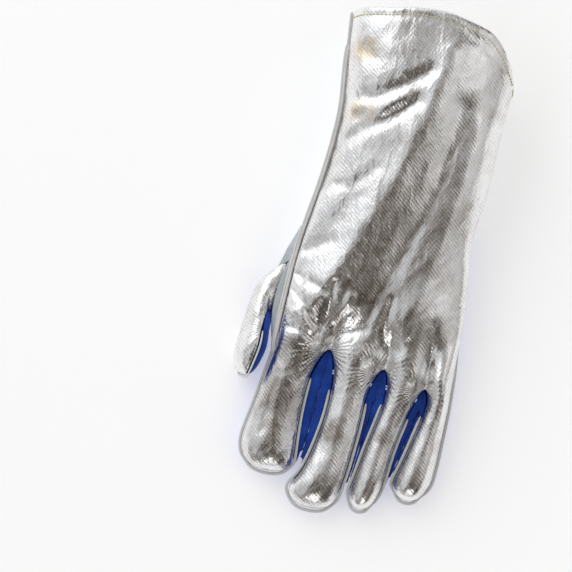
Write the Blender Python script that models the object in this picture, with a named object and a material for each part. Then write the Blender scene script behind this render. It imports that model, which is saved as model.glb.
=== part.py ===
"""An aluminized welding glove for a left hand, lying palm down with its hollows open.

+Z points out of the back of the hand, +Y towards the cuff's opening and -X towards the thumb.
The leather and cloth pieces are worked out as grids of points that meet along their seams. Each grid
then gets a wall of its own thickness, and its edges draw back from the seams by half of a seam's gap.
"""

import math

import bpy
from mathutils import Vector

# Driving sizes in metres
GLOVE_LENGTH = 0.356
HAND_WIDTH = 0.128
CUFF_DEPTH = 0.072
FINGER_DEPTH = 0.030
THUMB_WIDTH = 0.032
THUMB_DEPTH = 0.018
WALL = 0.002
CROTCH_WALL = 0.0010
THUMB_WALL = 0.0012
HEM_FOLD = 0.0065
HEM_EXTRA = 0.0008
SEAM_GAP = 0.0003
WELT_THICKNESS = 0.0010
WELT_PROUD = 0.0016
WELT_INSET = 0.0008
WELT_CLEARANCE = 0.0007
PATCH_THICKNESS = 0.0014
PATCH_CLEARANCE = 0.0015
THUMB_BULGE = 0.016
THUMB_ROUNDING = 3

# How full the sections of the hand and the crowns of the fingers are
OVAL_POWER = 2.4
CROWN_POWER = 2.6
CROWN_EASE = 0.75
MITRE_LIMIT = 1.2

# The angles of the two side seams round the hand, in degrees, with the back of the hand at 90
THUMB_SEAM = 172
LITTLE_SEAM = -22

# Where the columns of the grids run round the hand: an angle at each side of each finger, and how many
# columns each finger has
BACK_ANGLES = (172, 109, 80, 50, -22)
BACK_COLUMNS = (8, 6, 6, 6)
PALM_ANGLES = (172, 250, 275, 309, 338)
PALM_COLUMNS = (8, 6, 6, 6)
CUFF_ROWS = 12
HAND_ROWS = 10
BLEND_ROWS = 5

# The opening of the palm that the thumb grows out of, in columns and rows of the palm's grid
THUMB_FIRST_COLUMN = 1
THUMB_LAST_COLUMN = 4
THUMB_LAST_ROW = 7

# Sections of the hand and cuff. Along is a share of GLOVE_LENGTH, left and right are shares of
# HAND_WIDTH, depth and base are shares of CUFF_DEPTH. A base under 0 is pressed flat on the ground.
SECTIONS = (
    # along, left, right, depth, base
    (0.510, -0.422, 0.531, 1.04, -0.04),
    (0.390, -0.391, 0.531, 1.03, -0.04),
    (0.280, -0.352, 0.523, 0.96, -0.04),
    (0.170, -0.367, 0.516, 0.86, -0.03),
    (0.115, -0.391, 0.494, 0.75, 0.045),
    (0.080, -0.406, 0.484, 0.70, 0.050),
    (0.000, -0.437, 0.516, 0.63, 0.050),
    (-0.110, -0.445, 0.547, 0.57, 0.050),
    (-0.220, -0.453, 0.555, 0.49, 0.050),
)

# The edge of the cuff and the seam at the wrist, as shares of GLOVE_LENGTH round the hand by angle
BACK_HEM = (
    # angle, along
    (-22, 0.376),
    (11, 0.402),
    (28, 0.435),
    (41, 0.463),
    (56, 0.486),
    (87, 0.506),
    (103, 0.502),
    (123, 0.490),
    (146, 0.485),
    (172, 0.474),
)
PALM_HEM = (
    # angle, along
    (172, 0.474),
    (190, 0.455),
    (210, 0.446),
    (240, 0.454),
    (270, 0.466),
    (300, 0.450),
    (320, 0.416),
    (338, 0.376),
)
WRIST_SEAM = (
    # angle, along
    (172, -0.022),
    (182, -0.026),
    (192, -0.042),
    (201, -0.058),
    (212, -0.064),
    (222, -0.030),
    (232, 0.045),
    (243, 0.098),
    (255, 0.112),
    (275, 0.107),
    (309, 0.093),
    (338, 0.084),
)
# The same line carried over the back of the hand
WRIST_GUIDE = (
    # angle, along
    (-22, 0.084),
    (80, 0.040),
    (172, -0.022),
)

# The bulge of the thumb's base, which lifts the wrist seam away from the side of the hand
BULGE_ROUND = (
    # angle, share of THUMB_BULGE
    (172, 0.0),
    (182, 0.2),
    (192, 0.65),
    (202, 0.95),
    (212, 1.0),
    (222, 0.75),
    (236, 0.30),
    (250, 0.0),
    (338, 0.0),
)
BULGE_ALONG = (
    # along, share of THUMB_BULGE
    (-0.220, 0.00),
    (-0.125, 0.00),
    (-0.105, 0.25),
    (-0.080, 0.80),
    (-0.060, 1.00),
    (0.000, 0.75),
    (0.042, 0.45),
    (0.084, 0.20),
    (0.130, 0.00),
    (0.510, 0.00),
)

# Where the fingers part, as shares of HAND_WIDTH and GLOVE_LENGTH. The first and last rows are the
# side seams.
BACK_CROTCHES = (
    # across, along
    (-0.445, -0.185),
    (-0.148, -0.169),
    (0.164, -0.185),
    (0.398, -0.208),
    (0.551, -0.219),
)
PALM_CROTCHES = (
    # across, along
    (-0.445, -0.185),
    (-0.148, -0.225),
    (0.133, -0.233),
    (0.398, -0.247),
    (0.551, -0.219),
)
KNUCKLE_BOW = 0.012

# The outlines of the fingers. Progress runs from the parting to the tip, the rest are shares of
# HAND_WIDTH. The strips between the fingers end where back and palm meet, at JOIN_ROW.
JOIN_ROW = 7
INDEX = (
    # progress, back left, back right, palm left, palm right
    (0.00, -0.445, -0.148, -0.445, -0.148),
    (0.12, -0.453, -0.191, -0.453, -0.160),
    (0.25, -0.469, -0.219, -0.469, -0.164),
    (0.40, -0.484, -0.227, -0.484, -0.168),
    (0.55, -0.500, -0.227, -0.500, -0.172),
    (0.70, -0.521, -0.221, -0.521, -0.180),
    (0.80, -0.523, -0.215, -0.523, -0.190),
    (0.88, -0.512, -0.211, -0.512, -0.211),
    (0.95, -0.500, -0.214, -0.500, -0.214),
    (1.00, -0.469, -0.236, -0.469, -0.236),
)
MIDDLE = (
    # progress, back left, back right, palm left, palm right
    (0.00, -0.148, 0.164, -0.148, 0.133),
    (0.12, -0.109, 0.117, -0.141, 0.121),
    (0.25, -0.102, 0.102, -0.145, 0.117),
    (0.40, -0.102, 0.102, -0.152, 0.113),
    (0.55, -0.121, 0.094, -0.160, 0.105),
    (0.70, -0.148, 0.086, -0.174, 0.094),
    (0.80, -0.178, 0.074, -0.184, 0.078),
    (0.88, -0.222, 0.068, -0.222, 0.068),
    (0.95, -0.222, 0.060, -0.222, 0.060),
    (1.00, -0.195, 0.030, -0.195, 0.030),
)
RING = (
    # progress, back left, back right, palm left, palm right
    (0.00, 0.164, 0.398, 0.133, 0.398),
    (0.12, 0.195, 0.371, 0.141, 0.383),
    (0.25, 0.191, 0.344, 0.138, 0.367),
    (0.40, 0.172, 0.320, 0.133, 0.350),
    (0.55, 0.148, 0.303, 0.127, 0.332),
    (0.70, 0.131, 0.295, 0.122, 0.314),
    (0.80, 0.119, 0.289, 0.115, 0.299),
    (0.88, 0.109, 0.277, 0.109, 0.277),
    (0.95, 0.112, 0.264, 0.112, 0.264),
    (1.00, 0.128, 0.240, 0.128, 0.240),
)
LITTLE = (
    # progress, back left, back right, palm left, palm right
    (0.00, 0.398, 0.551, 0.398, 0.551),
    (0.12, 0.430, 0.555, 0.406, 0.555),
    (0.25, 0.414, 0.555, 0.395, 0.555),
    (0.40, 0.395, 0.555, 0.379, 0.555),
    (0.55, 0.375, 0.555, 0.361, 0.555),
    (0.70, 0.354, 0.552, 0.344, 0.552),
    (0.80, 0.336, 0.547, 0.333, 0.547),
    (0.88, 0.330, 0.531, 0.330, 0.531),
    (0.95, 0.339, 0.518, 0.339, 0.518),
    (1.00, 0.364, 0.493, 0.364, 0.493),
)
FINGERS = (INDEX, MIDDLE, RING, LITTLE)
FINGER_TIPS = (-0.439, -0.494, -0.477, -0.441)

# Heights of a finger's lines along its length, as shares of FINGER_DEPTH
FINGER_HEIGHTS = (
    # progress, top, back edge, palm edge, thumb side seam, little side seam, bottom
    (0.00, 1.25, 0.84, 0.34, 0.78, 0.42, 0.13),
    (0.12, 1.12, 0.76, 0.32, 0.72, 0.41, 0.06),
    (0.25, 1.03, 0.70, 0.30, 0.66, 0.40, -0.01),
    (0.40, 0.98, 0.64, 0.30, 0.60, 0.40, -0.05),
    (0.55, 0.95, 0.60, 0.31, 0.55, 0.40, -0.05),
    (0.70, 0.93, 0.56, 0.33, 0.50, 0.40, -0.05),
    (0.80, 0.90, 0.50, 0.35, 0.45, 0.40, -0.05),
    (0.88, 0.85, 0.42, 0.42, 0.42, 0.42, -0.03),
    (0.95, 0.72, 0.41, 0.41, 0.41, 0.41, 0.08),
    (1.00, 0.42, 0.40, 0.40, 0.40, 0.40, 0.38),
)
TIP_CORNER = 0.012

# The thumb's sections from its root to its tip. Across and along place the centre by HAND_WIDTH and
# GLOVE_LENGTH, up by CUFF_DEPTH, wide and thick are shares of THUMB_WIDTH and THUMB_DEPTH, out lifts
# the section off the hand by THUMB_DEPTH, and free goes from the root's opening to the section.
THUMB = (
    # across, along, up, wide, thick, out, free
    (-0.530, -0.085, 0.27, 1.10, 1.00, 0.00, 0.00),
    (-0.540, -0.100, 0.27, 1.10, 1.00, 0.28, 0.12),
    (-0.550, -0.115, 0.27, 1.10, 1.00, 0.40, 0.28),
    (-0.558, -0.130, 0.27, 1.08, 1.00, 0.38, 0.48),
    (-0.562, -0.148, 0.27, 1.05, 1.00, 0.26, 0.70),
    (-0.566, -0.170, 0.260, 1.02, 1.00, 0.10, 0.90),
    (-0.568, -0.195, 0.255, 1.00, 1.05, 0.00, 1.00),
    (-0.578, -0.220, 0.245, 0.96, 0.98, 0.00, 1.00),
    (-0.583, -0.238, 0.235, 0.86, 0.85, 0.00, 1.00),
    (-0.584, -0.252, 0.228, 0.70, 0.60, 0.00, 1.00),
    (-0.582, -0.262, 0.222, 0.46, 0.00, 0.00, 1.00),
)
THUMB_WIDE_WAY = (0.37, 0.0, 0.93)
THUMB_THICK_WAY = (-0.93, 0.0, 0.37)
THUMB_OUT_WAY = (-1.0, 0.0, 0.0)

# The two edges of the grey patch in columns and rows of the palm's grid, from the wrist round to the
# index finger's side
PATCH = (
    # outer column, outer row, inner column, inner row
    (13.9, 0.15, 8.1, 0.15),
    (13.9, 1.50, 8.1, 1.20),
    (13.9, 3.00, 8.1, 2.40),
    (13.9, 4.50, 8.1, 3.60),
    (13.8, 6.00, 8.1, 4.80),
    (13.3, 7.30, 8.1, 5.80),
    (12.3, 8.40, 8.0, 6.80),
    (10.8, 9.10, 7.6, 7.40),
    (9.0, 9.60, 7.0, 7.60),
    (7.0, 9.75, 5.6, 7.90),
    (5.0, 9.80, 4.2, 8.00),
    (3.6, 9.80, 3.0, 8.00),
    (2.4, 9.80, 2.0, 8.00),
    (1.3, 9.80, 1.2, 8.00),
)
PATCH_ACROSS = 5

# name, colour, roughness, metallic
FOIL = ("aluminized_cloth", (0.72, 0.71, 0.69, 1.0), 0.30, 1.0)
BLUE_SUEDE = ("blue_suede", (0.012, 0.065, 0.42, 1.0), 0.90, 0.0)
GREY_SUEDE = ("grey_suede", (0.50, 0.55, 0.58, 1.0), 0.92, 0.0)
WELT_LEATHER = ("welt_leather", (0.55, 0.57, 0.56, 1.0), 0.85, 0.0)


def clear_scene():
    for thing in list(bpy.data.objects):
        bpy.data.objects.remove(thing, do_unlink=True)


def smooth(share):
    share = min(max(share, 0.0), 1.0)
    return share * share * (3 - 2 * share)


def mix(start, end, share):
    return start + (end - start) * share


def read(table, key, column=1):
    """A table's column at a key, on straight lines between its rows, in rising or falling order."""
    rows = sorted(table, key=lambda row: row[0])
    if key <= rows[0][0]:
        return rows[0][column]
    for low, high in zip(rows, rows[1:]):
        if key <= high[0]:
            return mix(low[column], high[column], (key - low[0]) / (high[0] - low[0]))
    return rows[-1][column]


def column_angles(bounds, counts):
    """The angle of each column round the hand, evenly spaced inside each finger's share."""
    angles = [float(bounds[0])]
    for start, end, count in zip(bounds, bounds[1:], counts):
        angles += [mix(start, end, (n + 1) / count) for n in range(count)]
    return angles


def power_of(value, power):
    return math.copysign(abs(value) ** (2 / power), value)


def hand_point(angle, y):
    """A point of the hand's skin, by its angle round the hand and its place along it."""
    along = y / GLOVE_LENGTH
    left = read(SECTIONS, along, 1) * HAND_WIDTH
    right = read(SECTIONS, along, 2) * HAND_WIDTH
    half_depth = read(SECTIONS, along, 3) * CUFF_DEPTH / 2
    base = read(SECTIONS, along, 4) * CUFF_DEPTH
    turn = math.radians(angle)
    x = (left + right) / 2 + (right - left) / 2 * power_of(math.cos(turn), OVAL_POWER)
    z = base + half_depth * (1 + power_of(math.sin(turn), OVAL_POWER))
    if angle > THUMB_SEAM:
        x -= THUMB_BULGE * read(BULGE_ROUND, angle) * read(BULGE_ALONG, along)
    return Vector((x, y, max(z, 0.0)))


def spread(share):
    """Draws a finger's columns together towards its edges, where it curves most."""
    return 0.4 * share + 0.6 * (0.5 - 0.5 * math.cos(math.pi * share))


def crown(share):
    return (1 - abs(2 * share - 1) ** CROWN_POWER) ** CROWN_EASE


def finger_edge_y(finger, row, side, face):
    """How far along an edge of a finger is. Side 0 is its thumb side, face 0 its back."""
    progress = FINGERS[finger][row][0]
    tip = FINGER_TIPS[finger] * GLOVE_LENGTH
    back = BACK_CROTCHES[finger + side][1] * GLOVE_LENGTH
    palm = PALM_CROTCHES[finger + side][1] * GLOVE_LENGTH
    y = mix(back, tip, progress)
    if face == 1:
        join = FINGERS[finger][JOIN_ROW][0]
        y += (palm - back) * max(0.0, 1 - progress / join)
    return y


def finger_edge_z(finger, row, side, face):
    heights = FINGER_HEIGHTS[row]
    if finger == 0 and side == 0:
        return heights[4] * FINGER_DEPTH
    if finger == 3 and side == 1:
        return heights[5] * FINGER_DEPTH
    return heights[2 + face] * FINGER_DEPTH


def finger_row(finger, row, face, count):
    """One row of points across a finger, on its back (face 0) or its palm (face 1)."""
    outline = FINGERS[finger][row]
    left_x = outline[1 + 2 * face] * HAND_WIDTH
    right_x = outline[2 + 2 * face] * HAND_WIDTH
    left_y = finger_edge_y(finger, row, 0, face)
    right_y = finger_edge_y(finger, row, 1, face)
    left_z = finger_edge_z(finger, row, 0, face)
    right_z = finger_edge_z(finger, row, 1, face)
    middle_z = FINGER_HEIGHTS[row][1 if face == 0 else 6] * FINGER_DEPTH
    points = []
    for n in range(count + 1):
        share = spread(n / count)
        edge_z = mix(left_z, right_z, share)
        y = mix(left_y, right_y, share)
        y += KNUCKLE_BOW * crown(share) * (1 - outline[0]) ** 2 * (0.5 if face == 0 else 0.3)
        y += TIP_CORNER * smooth((outline[0] - 0.8) / 0.2) * (1 - crown(share)) * 0.5
        z = edge_z + (middle_z - edge_z) * crown(share)
        points.append(Vector((mix(left_x, right_x, share), y, max(z, 0.0))))
    return points


def root_row(face, counts):
    """The row of points where all four fingers leave the hand."""
    points = []
    for finger, count in enumerate(counts):
        row = finger_row(finger, 0, face, count)
        points += row if finger == 0 else row[1:]
    return points


def row_share(row, rows, hem):
    """Rows are even, but the first one below a hem lies at the hem's fold."""
    if not hem:
        return row / rows
    fold = HEM_FOLD / (GLOVE_LENGTH * 0.45)
    return 0.0 if row == 0 else mix(fold, 1.0, (row - 1) / (rows - 1))


def cuff_rows(angles, hem, seam):
    rows = []
    for n in range(CUFF_ROWS + 1):
        share = row_share(n, CUFF_ROWS, True)
        line = []
        for angle in angles:
            y = mix(read(hem, angle), read(seam, angle), share) * GLOVE_LENGTH
            line.append(hand_point(angle, y))
        rows.append(line)
    return rows


def hand_rows(angles, seam, root):
    """Rows from the wrist seam to the fingers' roots, where the oval turns into the fingers' arches."""
    rows = []
    for n in range(HAND_ROWS + 1):
        blend = smooth((n - HAND_ROWS + BLEND_ROWS) / BLEND_ROWS)
        line = []
        for angle, end in zip(angles, root):
            y = mix(read(seam, angle) * GLOVE_LENGTH, end.y, n / HAND_ROWS)
            oval = hand_point(angle, y)
            line.append(Vector((mix(oval.x, end.x, blend), y, mix(oval.z, end.z, blend))))
        rows.append(line)
    return rows


def between(first, second, share):
    return first.lerp(second, share)


class Skin:
    """All the points of the glove's outer skin, shared where pieces meet, with the faces of each piece."""

    def __init__(self):
        self.points = []
        self.places = {}
        self.pieces = {}
        self.walls = {}

    def add(self, point):
        place = tuple(round(value, 7) for value in point)
        if place not in self.places:
            self.places[place] = len(self.points)
            self.points.append(Vector(point))
        return self.places[place]

    def grid(self, piece, rows, flip, skip=None):
        """Adds a grid of points to a piece. Flip turns its faces round, and skip leaves some out."""
        numbers = [[self.add(point) for point in row] for row in rows]
        faces = self.pieces.setdefault(piece, [])
        for i in range(len(rows) - 1):
            for j in range(len(rows[0]) - 1):
                if skip and skip(i, j):
                    continue
                corners = [numbers[i][j], numbers[i + 1][j], numbers[i + 1][j + 1], numbers[i][j + 1]]
                corners = [c for k, c in enumerate(corners) if c != corners[k - 1]]
                if len(corners) < 3:
                    continue
                faces.append(tuple(reversed(corners)) if flip else tuple(corners))
        return numbers

    def normals(self):
        total = [Vector() for _ in self.points]
        for faces in self.pieces.values():
            for face in faces:
                normal = self.face_normal(face)
                for k, corner in enumerate(face):
                    before = self.points[face[k - 1]] - self.points[corner]
                    after = self.points[face[(k + 1) % len(face)]] - self.points[corner]
                    if before.length > 0 and after.length > 0:
                        total[corner] += normal * before.angle(after)
        return [normal.normalized() for normal in total]

    def face_normal(self, face):
        points = [self.points[corner] for corner in face]
        if len(points) == 3:
            return (points[1] - points[0]).cross(points[2] - points[0]).normalized()
        return (points[2] - points[0]).cross(points[3] - points[1]).normalized()

    def edge_uses(self):
        uses = {}
        for faces in self.pieces.values():
            for face in faces:
                for k, corner in enumerate(face):
                    edge = frozenset((corner, face[(k + 1) % len(face)]))
                    uses[edge] = uses.get(edge, 0) + 1
        return uses


def edge_gap(edge, uses, welted):
    """Half of the gap of a seam, or of a seam with a welt in it, and nothing at a free edge."""
    if uses[edge] < 2:
        return 0.0
    if edge in welted:
        return WELT_THICKNESS / 2 + WELT_CLEARANCE
    return SEAM_GAP / 2


def edge_pulls(skin, faces, normals, uses, welted):
    """For each corner on a piece's edge, the ways and distances that its edges draw it back."""
    own = {}
    for face in faces:
        for k, corner in enumerate(face):
            own.setdefault(frozenset((corner, face[(k + 1) % len(face)])), []).append((face, k))
    pulls = {}
    for edge, sides in own.items():
        if len(sides) != 1:
            continue
        face, k = sides[0]
        start = face[k]
        end = face[(k + 1) % len(face)]
        along = (skin.points[end] - skin.points[start]).normalized()
        inward = skin.face_normal(face).cross(along).normalized()
        gap = edge_gap(edge, uses, welted)
        for corner in (start, end):
            normal = normals[corner]
            level = (inward - normal * inward.dot(normal)).length
            pulls.setdefault(corner, []).append((inward, gap / max(level, 0.5)))
    return pulls, [sides[0] for sides in own.values() if len(sides) == 1]


def drawn_back(pull_list):
    """The move that takes a corner back from both of its edges."""
    first, first_gap = pull_list[0]
    second, second_gap = pull_list[-1]
    lean = first.dot(second)
    if lean > 0.93:
        return (first + second).normalized() * max(first_gap, second_gap)
    spare = max(1 - lean * lean, 0.2)
    return (
        first * (first_gap - lean * second_gap) + second * (second_gap - lean * first_gap)
    ) / spare


def inner_offset(skin, faces_at, normals, corner):
    """How far the inner wall lies from an outer corner, further where the skin bends sharply."""
    normal = normals[corner]
    wall = skin.walls.get(corner, WALL)
    least = min((normal.dot(n) for n in faces_at[corner]), default=1.0)
    return normal * wall * min(1 / max(least, 0.1), MITRE_LIMIT)


def make_object(name, points, faces, finish):
    mesh = bpy.data.meshes.new(name)
    mesh.from_pydata([tuple(point) for point in points], [], faces)
    mesh.update()
    mesh.shade_smooth()
    mesh.set_sharp_from_angle(angle=math.radians(50))
    item = bpy.data.objects.new(name, mesh)
    bpy.context.scene.collection.objects.link(item)
    mesh.materials.append(material(*finish))
    return item


def material(name, colour, roughness, metallic):
    found = bpy.data.materials.get(name)
    if found:
        return found
    made = bpy.data.materials.new(name)
    made.use_nodes = True
    shader = made.node_tree.nodes["Principled BSDF"]
    shader.inputs["Base Color"].default_value = colour
    shader.inputs["Roughness"].default_value = roughness
    shader.inputs["Metallic"].default_value = metallic
    return made


def walled_piece(skin, name, finish, normals, faces_at, uses, welted):
    """Turns a piece's faces into a closed solid with a wall, drawn back from its seams."""
    faces = skin.pieces[name]
    pulls, border = edge_pulls(skin, faces, normals, uses, welted)
    used = sorted({corner for face in faces for corner in face})
    number = {corner: n for n, corner in enumerate(used)}
    outer = []
    inner = []
    for corner in used:
        move = drawn_back(pulls[corner]) if corner in pulls else Vector()
        point = skin.points[corner] + move
        outer.append(point)
        inner.append(point - inner_offset(skin, faces_at, normals, corner))
    count = len(used)
    solid = [tuple(number[corner] for corner in face) for face in faces]
    solid += [tuple(number[corner] + count for corner in reversed(face)) for face in faces]
    for face, k in border:
        start = number[face[k]]
        end = number[face[(k + 1) % len(face)]]
        solid.append((end, start, start + count, end + count))
    return make_object(name, outer + inner, solid, finish)


def welt(skin, name, path, normals):
    """A flat leather strip that stands on edge in a seam, a little proud of the skin."""
    rings = []
    for n, corner in enumerate(path):
        before = skin.points[path[max(n - 1, 0)]]
        after = skin.points[path[min(n + 1, len(path) - 1)]]
        normal = normals[corner]
        across = (after - before).normalized().cross(normal).normalized() * WELT_THICKNESS / 2
        point = skin.points[corner]
        top = point + normal * WELT_PROUD
        bottom = point - normal * WELT_INSET
        rings.append([top - across, top + across, bottom + across, bottom - across])
    points = [point for ring in rings for point in ring]
    faces = [(3, 2, 1, 0)]
    for n in range(len(rings) - 1):
        for k in range(4):
            a = 4 * n + k
            b = 4 * n + (k + 1) % 4
            faces.append((a, b, b + 4, a + 4))
    last = 4 * (len(rings) - 1)
    faces.append((last, last + 1, last + 2, last + 3))
    return make_object(name, points, faces, WELT_LEATHER)


def rounded_ring(ring, passes):
    """Eases the corners of a closed ring by drawing each point towards its neighbours."""
    for _ in range(passes):
        ring = [
            (ring[n - 1] + ring[n] * 2 + ring[(n + 1) % len(ring)]) / 4 for n in range(len(ring))
        ]
    return ring


def thumb_rows(root):
    """Rings of points from the opening in the palm to the thumb's tip, each a point per root point."""
    rings = []
    count = len(root)
    wide = Vector(THUMB_WIDE_WAY)
    thick = Vector(THUMB_THICK_WAY)
    for across, along, up, wide_share, thick_share, out, free in THUMB:
        centre = Vector((across * HAND_WIDTH, along * GLOVE_LENGTH, up * CUFF_DEPTH))
        lift = Vector(THUMB_OUT_WAY) * THUMB_DEPTH * out
        ring = []
        for n, start in enumerate(root):
            angle = 2 * math.pi * n / count
            half_wide = THUMB_WIDTH / 2 * wide_share * power_of(math.cos(angle), OVAL_POWER)
            half_thick = THUMB_DEPTH / 2 * thick_share * power_of(math.sin(angle), OVAL_POWER)
            ring.append(start.lerp(centre + wide * half_wide + thick * half_thick, free) + lift)
        rounding = THUMB_ROUNDING if 0 < free < 1 else 0
        rings.append(rounded_ring(ring, rounding))
    return rings


def thumb_root(palm):
    """The edge of the thumb's opening in the palm, once round from its foremost upper corner."""
    first = THUMB_FIRST_COLUMN
    last = THUMB_LAST_COLUMN
    low = THUMB_LAST_ROW
    loop = [palm[row][first] for row in range(low, 0, -1)]
    loop += [palm[0][column] for column in range(first, last)]
    loop += [palm[row][last] for row in range(0, low)]
    loop += [palm[low][column] for column in range(last, first, -1)]
    return loop


def in_thumb_opening(row, column):
    return row < THUMB_LAST_ROW and THUMB_FIRST_COLUMN <= column < THUMB_LAST_COLUMN


def strip_rows(finger):
    """The blue strip between a finger and the next: down one side from its join, and up the other."""
    rows = []
    for row in range(JOIN_ROW, 0, -1):
        back = finger_row(finger, row, 0, BACK_COLUMNS[finger])[-1]
        palm = finger_row(finger, row, 1, PALM_COLUMNS[finger])[-1]
        rows.append([between(back, palm, n / 3) for n in range(4)])
    back = finger_row(finger, 0, 0, BACK_COLUMNS[finger])[-1]
    palm = finger_row(finger, 0, 1, PALM_COLUMNS[finger])[-1]
    rows.append([between(back, palm, n / 3) for n in range(4)])
    for row in range(1, JOIN_ROW + 1):
        back = finger_row(finger + 1, row, 0, BACK_COLUMNS[finger + 1])[0]
        palm = finger_row(finger + 1, row, 1, PALM_COLUMNS[finger + 1])[0]
        rows.append([between(back, palm, n / 3) for n in range(4)])
    return rows


def grid_point(rows, column, row):
    """A point inside a grid, between its four nearest corners."""
    i = min(int(row), len(rows) - 2)
    j = min(int(column), len(rows[0]) - 2)
    near = rows[i][j].lerp(rows[i][j + 1], column - j)
    far = rows[i + 1][j].lerp(rows[i + 1][j + 1], column - j)
    return near.lerp(far, row - i)


def palm_patch(palm, palm_normals):
    """The grey patch, a sheet that lies on the palm and follows it."""
    outer = []
    inner = []
    for outer_column, outer_row, inner_column, inner_row in PATCH:
        for n in range(PATCH_ACROSS + 1):
            column = mix(outer_column, inner_column, n / PATCH_ACROSS)
            row = mix(outer_row, inner_row, n / PATCH_ACROSS)
            point = grid_point(palm, column, row)
            normal = grid_point(palm_normals, column, row).normalized()
            outer.append(point + normal * (PATCH_CLEARANCE + PATCH_THICKNESS))
            inner.append(point + normal * PATCH_CLEARANCE)
    count = len(outer)
    width = PATCH_ACROSS + 1
    faces = []
    for i in range(len(PATCH) - 1):
        for j in range(PATCH_ACROSS):
            a = i * width + j
            face = (a, a + width, a + width + 1, a + 1)
            faces.append(face)
            faces.append(tuple(corner + count for corner in reversed(face)))
    rim = [j for j in range(width)]
    rim += [i * width + width - 1 for i in range(1, len(PATCH))]
    rim += [(len(PATCH) - 1) * width + j for j in range(width - 2, -1, -1)]
    rim += [i * width for i in range(len(PATCH) - 2, 0, -1)]
    for n, corner in enumerate(rim):
        following = rim[(n + 1) % len(rim)]
        faces.append((following + count, corner + count, corner, following))
    return make_object("palm_reinforcement", outer + inner, faces, GREY_SUEDE)


def build_skin():
    """Lays out every grid of the glove and returns the skin with the grids that welts run along."""
    skin = Skin()
    back_angles = column_angles(BACK_ANGLES, BACK_COLUMNS)
    palm_angles = column_angles(PALM_ANGLES, PALM_COLUMNS)
    back_top = cuff_rows(back_angles, BACK_HEM, WRIST_GUIDE)
    back_low = hand_rows(back_angles, WRIST_GUIDE, root_row(0, BACK_COLUMNS))
    cuff = cuff_rows(palm_angles, PALM_HEM, WRIST_SEAM)
    palm = hand_rows(palm_angles, WRIST_SEAM, root_row(1, PALM_COLUMNS))
    grids = {
        "back_cuff": skin.grid("back_panel", back_top, False),
        "back_hand": skin.grid("back_panel", back_low, False),
        "cuff": skin.grid("palm_cuff", cuff, True),
        "palm": skin.grid("palm_panel", palm, True, in_thumb_opening),
        "palm_points": palm,
    }
    palm_names = ("palm_panel", "middle_finger_palm", "ring_finger_palm", "palm_panel")
    for finger, name in enumerate(palm_names):
        rows = range(len(FINGERS[finger]))
        back = [finger_row(finger, row, 0, BACK_COLUMNS[finger]) for row in rows]
        under = [finger_row(finger, row, 1, PALM_COLUMNS[finger]) for row in rows]
        meet_at_tip(back, under)
        grids["back", finger] = skin.grid("back_panel", back, False)
        grids["palm", finger] = skin.grid(name, under, True)
    names = ("fourchette_index_middle", "fourchette_middle_ring", "fourchette_ring_little")
    grids["strips"] = [skin.grid(name, strip_rows(n), True) for n, name in enumerate(names)]
    rings = thumb_rows(thumb_root(palm))
    half = len(rings[0]) // 2
    grids["thumb_back"] = skin.grid("thumb_back", [ring[: half + 1] for ring in rings], True)
    grids["thumb_palm"] = skin.grid("thumb_palm", [ring[half:] + ring[:1] for ring in rings], True)
    for row in (0, 1):
        for corner in grids["back_cuff"][row] + grids["cuff"][row]:
            skin.walls[corner] = WALL + HEM_EXTRA
    thin_crotches(skin, grids)
    return skin, grids


def thin_crotches(skin, grids):
    """Thins the wall where the seams of a crotch crowd together, as leather is skived there."""
    for row in grids["thumb_palm"] + grids["thumb_back"]:
        for corner in row:
            skin.walls[corner] = THUMB_WALL
    corners = []
    for strip in grids["strips"]:
        for row in strip[JOIN_ROW - 1 : JOIN_ROW + 2]:
            corners += row
    for row in grids["thumb_palm"][:1] + grids["thumb_back"][:1]:
        corners += row
    for row in grids["palm"][THUMB_LAST_ROW - 1 : THUMB_LAST_ROW + 2]:
        corners += row[:3]
    for corner in corners:
        skin.walls[corner] = CROTCH_WALL


def meet_at_tip(back, under):
    """Gives the last rows of a finger's back and palm the same points, so that they share a seam."""
    last = under[-1]
    count = len(back[-1]) - 1
    if len(last) == len(back[-1]):
        under[-1] = [point.copy() for point in back[-1]]
        return
    under[-1] = [grid_point([back[-1], back[-1]], n * count / (len(last) - 1), 0) for n in range(len(last))]


def welt_paths(grids):
    """The seams that hold a welt, each as a list of skin corners."""
    paths = {}
    side = [row[0] for row in grids["back_cuff"]] + [row[0] for row in grids["back_hand"][1:]]
    paths["welt_index_side"] = side + finger_path(grids["back", 0], 0, 2)[1:]
    side = [row[-1] for row in grids["back_cuff"]] + [row[-1] for row in grids["back_hand"][1:]]
    paths["welt_little_side"] = finger_path(grids["back", 3], 2, 0)[:-1] + side[::-1]
    paths["welt_middle"] = finger_path(grids["back", 1], 2, 2)
    paths["welt_ring"] = finger_path(grids["back", 2], 2, 2)
    thumb = grids["thumb_back"]
    down = [row[0] for row in thumb[5:]]
    up = [row[-1] for row in thumb[:1:-1]]
    paths["welt_thumb"] = down + thumb[-1][1:-1] + up
    base = grids["palm"][-1]
    first = PALM_COLUMNS[0]
    second = first + PALM_COLUMNS[1]
    third = second + PALM_COLUMNS[2]
    paths["welt_middle_base"] = base[first + 1 : second]
    paths["welt_ring_base"] = base[second + 1 : third]
    return paths


def finger_path(rows, first, last):
    """Down a finger's thumb side from one row, across its tip and up its other side to another."""
    down = [row[0] for row in rows[first:]]
    up = [row[-1] for row in rows[: last - 1 if last else None : -1]]
    if last == 0:
        up = [row[-1] for row in rows[::-1]]
    return down + rows[-1][1:-1] + up


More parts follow.
